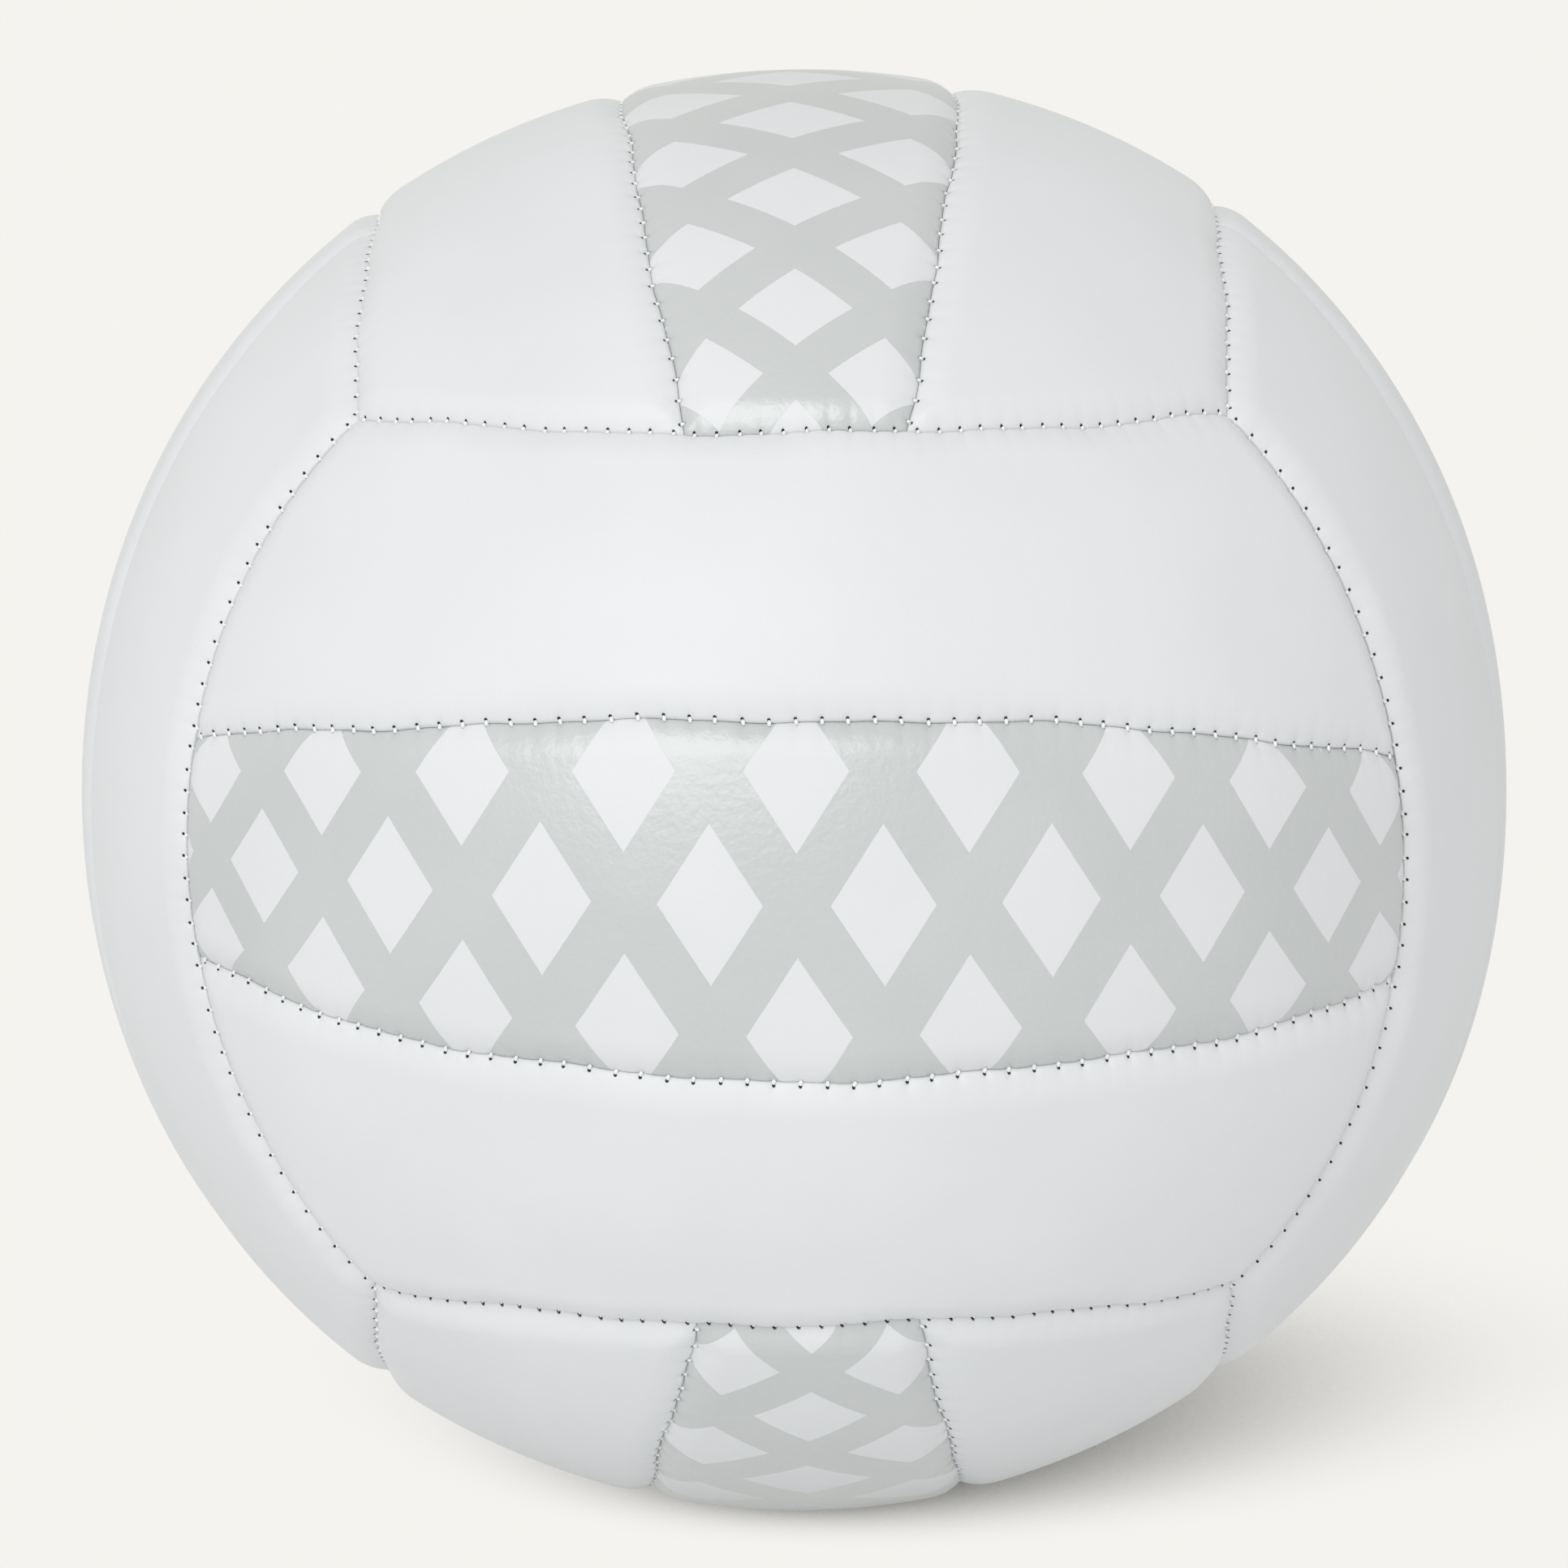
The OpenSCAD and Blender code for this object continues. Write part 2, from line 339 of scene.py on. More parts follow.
def edge_drop(inside, inset, lip):
    """How far a layer's skin lies below its crown, this far inside a seam.

    inset is the layer's depth in the panel, and lip is how far it turns down at the seam itself.
    """
    centre_r = BALL_R - EDGE_ROLL_R
    lip_r = BALL_R - EDGE_DROP
    centre_at = math.acos((lip_r**2 + centre_r**2 - EDGE_ROLL_R**2) / (2 * lip_r * centre_r))
    turn = np.minimum(np.maximum(inside, 0) / BALL_R - centre_at, 0)
    reach = np.maximum((EDGE_ROLL_R - inset) ** 2 - (centre_r * np.sin(turn)) ** 2, 0)
    roll = BALL_R - inset - centre_r * np.cos(turn) - np.sqrt(reach)
    return roll + lip * np.exp(-np.maximum(inside, 0) / LIP_REACH)


def valve_drop(ways):
    """How far the cover dips towards the edge of the valve's hole."""
    beside = np.arccos(np.clip(ways @ VALVE_WAY, -1, 1)) * BALL_R - VALVE_HOLE_R
    return VALVE_EDGE_DEPTH * np.exp(-np.maximum(beside, 0) / VALVE_EDGE_REACH)


def skin_radius(ways, insides, inset=0.0, sewn=True):
    """Radius of a layer's outer skin. insides holds (seam, distance inside it) for its seams."""
    drops = [edge_drop(inside, inset, seam.lip if sewn else 0) for seam, inside in insides]
    drop = sum(np.maximum(d, 0) ** CORNER_POWER for d in drops) ** (1 / CORNER_POWER)
    if sewn:
        drop = drop + sum(seam.dimples(ways, inside) for seam, inside in insides) + valve_drop(ways)
    return BALL_R - inset - drop


def near(ways, way, spread):
    """1 in one direction from the middle of the ball, easing to 0 over an angle all round it."""
    angle = np.arccos(np.clip(ways @ unit(np.array(way)), -1, 1))
    return np.exp(-((angle / spread) ** 2))


def warped(points, seams):
    """Points moved as a real ball is uneven: swells, tugged corners and wandering seams."""
    radius = np.linalg.norm(points, axis=-1, keepdims=True)
    ways = points / radius
    shift = np.zeros_like(points)
    for way, spread, height in SWELLS:
        shift += ways * (height * near(ways, way, spread))[..., None]
    for way, tug in TUGS:
        shift += near(ways, way, TUG_SPREAD)[..., None] * np.array(tug)
    for seam in seams:
        beside = np.exp(-((seam.offset(ways) / SWAY_REACH) ** 2))
        shift += (seam.sway(seam.azimuth(ways)) * beside)[..., None] * seam.axis
    give = smooth((radius - TRAY_R_IN) / (FULL_GIVE_R - TRAY_R_IN))
    moved = points + give * shift
    # Flat where the ball rests
    moved[..., 2] = np.maximum(moved[..., 2], REST_LIFT - BALL_R)
    return moved


class Panel:
    """One strip of one face. side is 0 for the middle strip, and -1 or 1 for those beside it."""

    def __init__(self, face, side):
        self.face, self.along, self.across, self.out, strips, printed = face
        self.side = side
        self.name = f"{self.face}_{strips[side + 1]}"
        self.printed = printed and side == 0
        outer = lambda way: (BETWEEN[seam_key(way * self.across, self.out)], -1)
        low = (BESIDE[self.face, -1], -1) if side == 0 else (BESIDE[self.face, 1], 1)
        high = (BESIDE[self.face, 1], -1) if side == 0 else outer(1)
        if side < 0:
            low, high = outer(-1), (BESIDE[self.face, -1], 1)
        ends = [(BETWEEN[seam_key(self.out, way * self.along)], 1) for way in (-1, 1)]
        # Each edge is (seam, 1 where the panel lies on the far side of it along its axis, else -1)
        self.edges = [low, high, *ends]

    def seams(self):
        return [seam for seam, _ in self.edges]

    def insides(self, ways):
        return [(seam, sign * seam.offset(ways)) for seam, sign in self.edges]

    def corner(self, side_edge, end_edge, end_way, margin):
        """Where two edges cross, both moved inside by the margin and half their seam's gap."""
        (a, a_lat), (b, b_lat) = (
            (seam.axis, seam.latitude + sign * (margin + seam.gap / 2) / BALL_R)
            for seam, sign in (side_edge, end_edge)
        )
        dot = a @ b
        a_share = (math.sin(a_lat) - dot * math.sin(b_lat)) / (1 - dot**2)
        b_share = (math.sin(b_lat) - dot * math.sin(a_lat)) / (1 - dot**2)
        flat = a_share * a + b_share * b
        rise = np.cross(a, b)
        rise = rise * math.sqrt((1 - flat @ flat) / (rise @ rise))
        return flat + rise * np.sign(rise @ (end_way * self.along))

    def places(self, u, v, margin):
        """Unit directions at shares of the panel, whose edges follow the seams exactly.

        u runs along the strip and v across it.
        """
        low, high, start, end = self.edges
        corners = {
            (i, j): self.corner((low, high)[j], (start, end)[i], 2 * i - 1, margin)
            for i in (0, 1) for j in (0, 1)
        }

        def arc(edge, first, last, shares):
            seam, sign = edge
            a, b = seam.azimuth(first), seam.azimuth(last)
            return seam.ways(a + (b - a) * shares, sign * (margin + seam.gap / 2))

        u_low = arc(low, corners[0, 0], corners[1, 0], u)
        u_high = arc(high, corners[0, 1], corners[1, 1], u)
        v_start = arc(start, corners[0, 0], corners[0, 1], v)
        v_end = arc(end, corners[1, 0], corners[1, 1], v)
        s, t = u[:, None], v[:, None]
        along = (1 - t) * u_low + t * u_high
        across = (1 - s) * v_start + s * v_end
        both = sum(
            (s if i else 1 - s) * (t if j else 1 - t) * corner for (i, j), corner in corners.items()
        )
        return unit(along + across - both)

    def sizes(self):
        """Length along the strip and width across it, over the panel's middle."""
        low, middle, high = self.places(np.full(3, 0.5), np.array([0.0, 0.5, 1.0]), 0.0)
        start, _, end = self.places(np.array([0.0, 0.5, 1.0]), np.full(3, 0.5), 0.0)
        length, width = (
            sum(math.acos(np.clip(edge @ middle, -1, 1)) for edge in pair) * BALL_R
            for pair in ((start, end), (low, high))
        )
        return length, width


PANELS = [Panel(face, side) for face in FACES for side in (-1, 0, 1)]


def shares_along(length, fine, coarse, every):
    """Shares of a length from 0 to 1, in steps that grow from fine at both ends to coarse.

    The number of steps is a multiple of every.
    """
    steps = []
    step = fine
    while step < coarse:
        steps.append(step)
        step *= STEP_GROWTH
    rest = length - 2 * sum(steps)
    count = math.ceil(rest / coarse)
    count += -(count + 2 * len(steps)) % every
    places = np.cumsum([0.0, *steps, *[rest / count] * count, *steps[::-1]])
    return places / places[-1]


def finer(shares, every):
    """Shares with each step cut into so many."""
    count = (len(shares) - 1) * every + 1
    return np.interp(np.arange(count) / every, np.arange(len(shares)), shares)


def pairs(u, v):
    """Every pair of shares of a grid, in the order of its vertices."""
    return np.stack(np.meshgrid(u, v, indexing="ij"), -1).reshape(-1, 2)


def rim_pairs(u, v):
    """The pairs at a grid's rim, in the order of rim_of."""
    low, high = (np.stack([u, np.full(len(u), end)], -1) for end in v[[0, -1]])
    start, last = (np.stack([np.full(len(v), end), v], -1) for end in u[[0, -1]])
    return np.concatenate([low[:-1], last[:-1], high[:0:-1], start[:0:-1]])


def rim_of(columns, rows):
    """Indices of a grid's outermost vertices, once round."""
    index = np.arange(columns * rows).reshape(columns, rows)
    return np.concatenate([index[:-1, 0], index[-1, :-1], index[:0:-1, -1], index[0, :0:-1]])


def grid_faces(columns, rows, first=0, flip=False):
    """Quads of a grid whose vertices are numbered from first, column by column."""
    index = first + np.arange(columns * rows).reshape(columns, rows)
    corners = [index[:-1, :-1], index[1:, :-1], index[1:, 1:], index[:-1, 1:]]
    faces = np.stack(corners, -1).reshape(-1, 4)
    return faces[:, ::-1] if flip else faces


def band_faces(upper, lower):
    """Quads between two closed rings with as many vertices each, which face out."""
    return np.stack([upper, lower, np.roll(lower, -1), np.roll(upper, -1)], -1)


def fan_faces(fine, coarse, every):
    """Triangles between a fine ring and one that has every so-many-th of its vertices."""
    after = np.roll(coarse, -1)
    half = every // 2
    steps = [np.roll(fine, -k)[::every] for k in range(every + 1)]
    faces = [np.stack([steps[k], coarse, steps[k + 1]], -1) for k in range(half)]
    faces.append(np.stack([steps[half], coarse, after], -1))
    faces += [np.stack([steps[k], after, steps[k + 1]], -1) for k in range(half, every)]
    return np.concatenate(faces)


def mesh_piece(name, points, faces, material, corner_uv=None, **attributes):
    """A smooth mesh object from points in millimetres and arrays of faces, each of one kind."""
    mesh = bpy.data.meshes.new(name)
    corners = np.concatenate([f.ravel() for f in faces])
    counts = np.concatenate([np.full(len(f), f.shape[1]) for f in faces])
    mesh.vertices.add(len(points))
    mesh.vertices.foreach_set("co", (points * MM).astype(np.float32).ravel())
    mesh.loops.add(len(corners))
    mesh.loops.foreach_set("vertex_index", corners.astype(np.int32))
    mesh.polygons.add(len(counts))
    mesh.polygons.foreach_set("loop_start", (np.cumsum(counts) - counts).astype(np.int32))
    mesh.polygons.foreach_set("use_smooth", np.ones(len(counts), bool))
    for label, values in attributes.items():
        layer = mesh.attributes.new(label, "FLOAT_VECTOR", "POINT")
        layer.data.foreach_set("vector", values.astype(np.float32).ravel())
    if corner_uv is not None:
        layer = mesh.uv_layers.new(name="OFBake")
        layer.uv.foreach_set("vector", corner_uv.astype(np.float32).ravel())
    mesh.update(calc_edges=True)
    mesh.materials.append(material)
    piece = bpy.data.objects.new(name, mesh)
    bpy.context.scene.collection.objects.link(piece)
    return piece


def strip_places(panel, ways):
    """Distance along and across the strip, in metres, for the print."""
    along = np.arcsin(np.clip(ways @ panel.along, -1, 1)) * BALL_R
    across = np.arctan2(ways @ panel.across, ways @ panel.out) * BALL_R
    return np.stack([along, across, np.zeros_like(along)], -1) * MM


def stitch_places(panel, ways):
    """Per point: the count of holes along the nearest seam, millimetres past their line, and size.

    A hole of a size above 1 is wider, and one below 1 is fainter.
    """
    beside = [seam.reach(ways) for seam in panel.seams()]
    first = np.argmin(beside, 0)
    ordered = np.sort(beside, 0)
    phase = np.stack([seam.hole_count(seam.azimuth(ways), sign) for seam, sign in panel.edges])
    size = np.array([
        seam.hole_size if seam.hole_way == sign else FAINT_HOLE for seam, sign in panel.edges
    ])
    picked = np.take_along_axis(phase, first[None], 0)[0]
    line = np.array([seam.hole_at(sign) for seam, sign in panel.edges])[first]
    away = np.where(ordered[1] < CORNER_CLEAR, FAR_FROM_SEAM, ordered[0] - line)
    return np.stack([picked, away, size[first]], -1)


def pit_depth(stitch):
    """How deep the needle's holes are pressed into the skin, from what stitch_places gives."""
    count, away, size = stitch.T
    along = (np.mod(count + 0.5, 1) - 0.5) * MEAN_PITCH
    beside = np.hypot(along, away) / (HOLE_R * np.maximum(size, 1))
    return HOLE_DEPTH * np.minimum(size, 1) * (1 - smooth(beside))


# Where the cover's outer skin and turned-in edges, its inner skin and the valve hole's wall lie on
# the bake's map
SKIN_LOW, SKIN_SPAN = (0.03, 0.03), (0.94, 0.80)
INNER_LOW, INNER_SPAN = (0.03, 0.90), (0.94, 0.08)
WALL_LOW, WALL_SPAN = (0.03, 0.855), (0.94, 0.03)
FRAME_WIDTH = 0.025


def skin_shares(u, v, length, width):
    """Shares over a cover's skin: a grid, and round it rings of finer steps, the last at the seams.

    Also gives how many there are in a ring.
    """
    inside = lambda shares, size, depth: depth / size + (1 - 2 * depth / size) * shares
    flat = [pairs(inside(u, length, SEAM_BAND), inside(v, width, SEAM_BAND))]
    for depth in SEAM_ROWS:
        rows = inside(finer(u, RIM_EVERY), length, depth), inside(finer(v, RIM_EVERY), width, depth)
        flat.append(rim_pairs(*rows))
    return np.concatenate(flat), len(flat[1])


def cover_uv(flat, rim, flat_in, rim_in, faces):
    """The bake's map of a cover, per corner. The last faces are those of the inner skin."""
    frames = len(SKIRT_LEVELS) + 2
    outward = lambda shares, k: 0.5 + (shares - 0.5) * (1 + k * FRAME_WIDTH / frames)
    skirt = [outward(flat[rim], k + 1) for k in range(len(SKIRT_LEVELS))]
    frame = np.concatenate(
        [flat, *skirt, outward(flat_in[rim_in], frames - 1), outward(flat_in, frames)]
    )
    frame = np.array(SKIN_LOW) + frame * np.array(SKIN_SPAN)
    inner = np.array(INNER_LOW) + flat_in * np.array(INNER_SPAN)
    inner = np.concatenate([frame[:-len(flat_in)], inner])
    return np.concatenate([frame[f.ravel()] for f in faces[:-1]] + [inner[faces[-1].ravel()]])


def cover_piece(panel, material):
    """The leather tray of one panel: outer skin, edges turned down to the seams, and inner skin."""
    length, width = panel.sizes()
    u, v = (
        shares_along(size - 2 * SEAM_BAND, BAND_STEP, COVER_STEP, INNER_EVERY)
        for size in (length, width)
    )
    flat, per_ring = skin_shares(u, v, length, width)
    ways = panel.places(*flat.T, 0.0)
    stitch = stitch_places(panel, ways)
    skin_r = skin_radius(ways, panel.insides(ways)) - pit_depth(stitch)
    skin = ways * skin_r[:, None]
    grid_rim = rim_of(len(u), len(v))
    fine = [len(u) * len(v) + k * per_ring + np.arange(per_ring) for k in range(len(SEAM_ROWS))]
    rim = fine[-1][::RIM_EVERY]
    u_in, v_in = u[::INNER_EVERY], v[::INNER_EVERY]
    flat_in = pairs(u_in, v_in)
    ways_in = panel.places(*flat_in.T, COVER_T)
    skin_in = ways_in * skin_radius(ways_in, panel.insides(ways_in), COVER_T, sewn=False)[:, None]
    rim_in = rim_of(len(u_in), len(v_in))

    rings = [
        ways[rim] * (skin_r[rim] + (TRAY_R_IN - skin_r[rim]) * level)[:, None]
        for level in SKIRT_LEVELS
    ]
    points = np.concatenate([skin, *rings, ways_in[rim_in] * TRAY_R_IN, skin_in])
    ring_at = [len(skin) + k * len(rim) + np.arange(len(rim)) for k in range(len(rings))]
    foot_at = len(skin) + len(rings) * len(rim) + np.arange(len(rim_in))
    inner_at = foot_at[-1] + 1

    faces = [
        grid_faces(len(u), len(v)), fan_faces(fine[0], grid_rim, RIM_EVERY)[:, ::-1],
        *(band_faces(a, b) for a, b in zip(fine, fine[1:])),
        fan_faces(fine[-1], ring_at[0], RIM_EVERY),
        *(band_faces(a, b) for a, b in zip(ring_at, ring_at[1:])),
        fan_faces(ring_at[-1], foot_at, INNER_EVERY), band_faces(foot_at, inner_at + rim_in),
        grid_faces(len(u_in), len(v_in), inner_at, flip=True),
    ]

    hidden = len(points) - len(skin)
    strip = np.concatenate([strip_places(panel, ways), np.tile([FAR_FROM_SEAM, 0, 0], (hidden, 1))])
    stitch = np.concatenate([stitch, np.tile([0, FAR_FROM_SEAM, 0], (hidden, 1))])
    piece = mesh_piece(
        f"panel_{panel.name}", warped(points, panel.seams()), faces, material,
        cover_uv(flat, rim, flat_in, rim_in, faces), strip=strip, stitch=stitch,
    )
    if panel.name == VALVE_PANEL:
        cut_valve_hole(piece)
    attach(piece, "root")
    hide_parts(f"cover_{panel.name}")


def slab_piece(panel, name, node, inset, r_out, r_in, material):
    """A soft layer under a cover: a closed slab between two radii, with its rim rolled down."""
    length, width = panel.sizes()
    u = shares_along(length, PAD_STEP / 2, PAD_STEP, 1)
    v = shares_along(width, PAD_STEP / 2, PAD_STEP, 1)
    ways = panel.places(*pairs(u, v).T, inset)
    rolled = skin_radius(ways, panel.insides(ways), inset, sewn=False)
    top = ways * np.minimum(rolled, r_out)[:, None]
    points = np.concatenate([top, ways * r_in])
    rim = rim_of(len(u), len(v))
    faces = [
        grid_faces(len(u), len(v)), band_faces(rim, rim + len(top)),
        grid_faces(len(u), len(v), len(top), flip=True),
    ]
    piece = mesh_piece(f"{name}_{panel.name}", warped(points, panel.seams()), faces, material)
    if panel.name == VALVE_PANEL:
        cut_valve_hole(piece)
    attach(piece, "root")
    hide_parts(f"{node}_{panel.name}")


def cut_valve_hole(piece):
    """Cuts the round hole for the valve's neck through a piece, square to the back face."""
    turn = np.arange(VALVE_HOLE_SIDES) * 2 * np.pi / VALVE_HOLE_SIDES
    ring = np.stack([np.cos(turn), np.zeros_like(turn), np.sin(turn)], -1) * VALVE_HOLE_R
    inner, outer = ring + Y * (TRAY_R_IN - COVER_T), ring + Y * (BALL_R + COVER_T)
    first, last = np.arange(VALVE_HOLE_SIDES), np.arange(VALVE_HOLE_SIDES) + VALVE_HOLE_SIDES
    faces = [first[None], last[None, ::-1], band_faces(first, last)]
    wall = np.stack(np.broadcast_arrays(first[:, None] + [0, 0, 1, 1], [0, 1, 1, 0]), -1)
    wall = np.array(WALL_LOW) + wall.reshape(-1, 2) * np.array(WALL_SPAN) / [VALVE_HOLE_SIDES, 1]
    corner_uv = np.concatenate([np.tile(WALL_LOW, (2 * VALVE_HOLE_SIDES, 1)), wall])
    whole = piece.data
    if not whole.uv_layers:
        corner_uv = None
    points = np.concatenate([inner, outer])
    cutter = mesh_piece("valve_cutter", points, faces, whole.materials[0], corner_uv)
    boolean = piece.modifiers.new("valve_hole", "BOOLEAN")
    boolean.operation, boolean.solver, boolean.object = "DIFFERENCE", "EXACT", cutter
    graph = bpy.context.evaluated_depsgraph_get()
    cut = bpy.data.meshes.new_from_object(
        piece.evaluated_get(graph), preserve_all_data_layers=True, depsgraph=graph
    )
    cut.name = whole.name
    piece.modifiers.clear()
    piece.data = cut
    copy_attributes(whole, cut)
    bpy.data.objects.remove(cutter)


def copy_attributes(source, target):
    """Gives each vertex of a mesh the named attributes of the nearest vertex of another."""
    tree = KDTree(len(source.vertices))
    for index, vertex in enumerate(source.vertices):
        tree.insert(vertex.co, index)
    tree.balance()
    nearest = np.array([tree.find(vertex.co)[1] for vertex in target.vertices])
    for label in ("strip", "stitch"):
        if label in source.attributes:
            values = np.empty((len(source.vertices), 3), np.float32)
            source.attributes[label].data.foreach_get("vector", values.ravel())
            target.attributes[label].data.foreach_set("vector", values[nearest].ravel())


def stitch_tubes(seam):
    """Points and faces of a seam's stitches, each an arch of twisted thread over the seam."""
    count = len(seam.stitches)
    share = np.linspace(-1, 1, THREAD_RINGS)
    # Rings crowd towards the ends, where the thread turns down into its holes
    passed = (1 + np.sin(share * np.pi / 2)) / 2
    across = seam.hole_way * (seam.thread_start + (seam.thread_end - seam.thread_start) * passed)
    lift = THREAD_RISE - (THREAD_RISE + THREAD_SINK) * np.abs(share) ** THREAD_FLATNESS
    base = seam.ways(seam.stitches)
    over = unit(seam.axis - (base @ seam.axis)[:, None] * base)
    along = np.cross(over, base)
    side = over[:, None] + np.tan(seam.slants)[:, None, None] * along[:, None]
    rest = np.mean([rest_radius(unit(base * BALL_R + end * over)) for end in across[[0, -1]]], 0)
    path_ways = unit(base[:, None] * BALL_R + side * across[None, :, None])
    path = path_ways * (rest[:, None] + lift[None, :])[..., None]
    ahead = unit(np.gradient(path, axis=1))
    right = unit(np.cross(ahead, base[:, None]))
    up = np.cross(right, ahead)
    turn = np.arange(THREAD_SIDES) * 2 * np.pi / THREAD_SIDES
    ply = 1 + PLY_DEPTH * np.cos(PLIES * (turn[None] - PLY_TURNS * np.pi * share[:, None]))
    ring = right[:, :, None] * np.cos(turn)[:, None] + up[:, :, None] * np.sin(turn)[:, None]
    points = path[:, :, None] + ring * (seam.thread_r * ply)[None, :, :, None]

    index = np.arange(points[..., 0].size).reshape(count, THREAD_RINGS, THREAD_SIDES)
    around = np.roll(index, -1, 2)
    sides = np.stack([index[:, :-1], index[:, 1:], around[:, 1:], around[:, :-1]], -1)
    caps = np.concatenate([index[:, 0], index[:, -1, ::-1]])
    return points.reshape(-1, 3), sides.reshape(-1, 4), caps


def rest_radius(ways):
    """Radius of the sewn cover at a point, whichever panels meet there."""
    return skin_radius(ways, [(seam, seam.reach(ways)) for seam in ALL_SEAMS])


def stitch_piece(name, seams, node, material):
    """All the stitches of some seams as one piece."""
    points, faces = [], [[], []]
    start = 0
    for seam in seams:
        tube, sides, caps = stitch_tubes(seam)
        points.append(tube)
        faces[0].append(sides + start)
        faces[1].append(caps + start)
        start += len(tube)
    points = warped(np.concatenate(points), ALL_SEAMS)
    piece = mesh_piece(name, points, [np.concatenate(f) for f in faces], material)
    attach(piece, "root")
    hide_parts(node)


# Materials

class Shader:
    """The node tree of one material, with short ways to add to it."""

    def __init__(self, name, colour, roughness, **sockets):
        self.material = bpy.data.materials.new(name)
        self.material.use_nodes = True
        self.tree = self.material.node_tree
        self.surface = self.tree.nodes["Principled BSDF"]
        self.set(Base_Color=(*colour, 1), Roughness=roughness, **sockets)

    def set(self, **sockets):
        for name, value in sockets.items():
            self.join(value, self.surface.inputs[name.replace("_", " ")])

    def join(self, value, socket):
        if isinstance(value, bpy.types.NodeSocket):
            self.tree.links.new(value, socket)
        else:
            socket.default_value = value

    def node(self, kind, inputs, **settings):
        made = self.tree.nodes.new(kind)
        for name, value in settings.items():
            setattr(made, name, value)
        for name, value in inputs.items():
            self.join(value, made.inputs[name])
        return made

    def math(self, operation, *values):
        made = self.node("ShaderNodeMath", dict(enumerate(values)), operation=operation)
        return made.outputs[0]

    def place(self):
        return self.node("ShaderNodeTexCoord", {}).outputs["Object"]

    def noise(self, size, detail=2.0):
        """Smooth noise with blotches about as wide as size, in metres."""
        inputs = {"Vector": self.place(), "Scale": 1 / size, "Detail": detail}
        return self.node("ShaderNodeTexNoise", inputs).outputs["Fac"]

    def cells(self, size, output="Distance"):
        """How far the nearest cell's middle is, as a share of size, or that cell's colour."""
        inputs = {"Vector": self.place(), "Scale": 1 / size}
        return self.node("ShaderNodeTexVoronoi", inputs).outputs[output]

    def ramp(self, value, low, high, start=0.0, stop=1.0):
        limits = {"From Min": low, "From Max": high, "To Min": start, "To Max": stop}
        made = self.node(
            "ShaderNodeMapRange", {"Value": value, **limits}, interpolation_type="SMOOTHSTEP"
        )
        return made.outputs[0]

    def mottle(self, size, detail=2.0):
        """Soft blotches from 0 to 1, about as wide as size."""
        return self.ramp(self.noise(size, detail), *BLOTCH_RANGE)

    def blend(self, factor, first, second):
        """Mixes two colours, each a tuple or a link."""
        made = self.tree.nodes.new("ShaderNodeMix")
        made.data_type = "RGBA"
        fac, a, b = (made.inputs[k] for k in (0, 6, 7))
        self.join(factor, fac)
        self.join((*first, 1) if isinstance(first, tuple) else first, a)
        self.join((*second, 1) if isinstance(second, tuple) else second, b)
        return made.outputs[2]

    def parts(self, attribute):
        """The three numbers of a named attribute."""
        named = self.node("ShaderNodeAttribute", {}, attribute_name=attribute)
        split = self.node("ShaderNodeSeparateXYZ", {"Vector": named.outputs["Vector"]})
        return split.outputs

    def bump(self, height, depth, normal=None):
        inputs = {"Height": height, "Distance": depth, "Strength": 1.0}
        if normal is not None:
            inputs["Normal"] = normal
        return self.node("ShaderNodeBump", inputs).outputs["Normal"]


# Colours are linear
WHITE = (0.752, 0.765, 0.775)
WHITE_SHADED = (0.735, 0.748, 0.757)
INK = (0.590, 0.612, 0.604)
INK_SHADED = (0.565, 0.588, 0.580)
SPECK = (0.42, 0.42, 0.40)
# Painted shade inside the needle holes, which are also shallow pits in the skin
HOLE_SHADE = (0.010, 0.011, 0.012)
THREAD = (0.92, 0.93, 0.94)
THREAD_SHADED = (0.80, 0.81, 0.82)
PAPER = (0.905, 0.896, 0.863)

# Plain materials: two colours, roughness, and the size and depth of the bump
RUBBER_LOOK = ((0.70, 0.71, 0.70), (0.64, 0.65, 0.64), 0.55, 0.0006, 0.00002)
FOAM_LOOK = ((0.84, 0.79, 0.66), (0.76, 0.70, 0.56), 0.95, 0.0008, 0.0002)
CLOTH_LOOK = ((0.62, 0.62, 0.59), (0.48, 0.48, 0.46), 0.9, 0.0005, 0.0001)
BUTYL_LOOK = ((0.020, 0.020, 0.022), (0.030, 0.030, 0.032), 0.6, 0.0012, 0.00005)

# Sizes and depths of the leather's bumps
LEATHER_ROUGHNESS = 0.46
LEATHER_SPECULAR = 0.35
BLOTCH_SIZE = 0.030
GRAIN_SIZE, GRAIN_DEPTH = 0.00055, 0.000012
RIPPLE_SIZE, RIPPLE_DEPTH = 0.0035, 0.00006
# Specks: the size of the cells that may hold one, the share of them that do, a speck's radius as a
# share of its cell, and how strong it is
SPECK_CELL = 0.016
SPECK_CHANCE = 0.45
SPECK_R = 0.009
SPECK_STRENGTH = 0.45
# The print's ink
INK_ROUGHNESS = 0.32
INK_METALLIC = 0.12
CRINKLE_SIZE, CRINKLE_DEPTH = 0.0011, 0.00008
# Thread
FIBRE_SIZE, FIBRE_DEPTH = 0.00018, 0.000025
THREAD_ROUGHNESS = 0.30
THREAD_SPECULAR = 0.6
PAPER_ROUGHNESS = 0.9
# How many cells of a plain material's bump a blotch spans
BLOTCH_CELLS = 6
# The stretch of noise over which blotches and fibres go from one colour to the other
BLOTCH_RANGE = (0.35, 0.65)
FIBRE_RANGE = (0.3, 0.7)

# The print: bars of pearly ink in two families that cross as a diamond lattice
BAR_ANGLE = math.radians(57)
BAR_PITCH = 0.0192
BAR_WIDTH = 0.0074


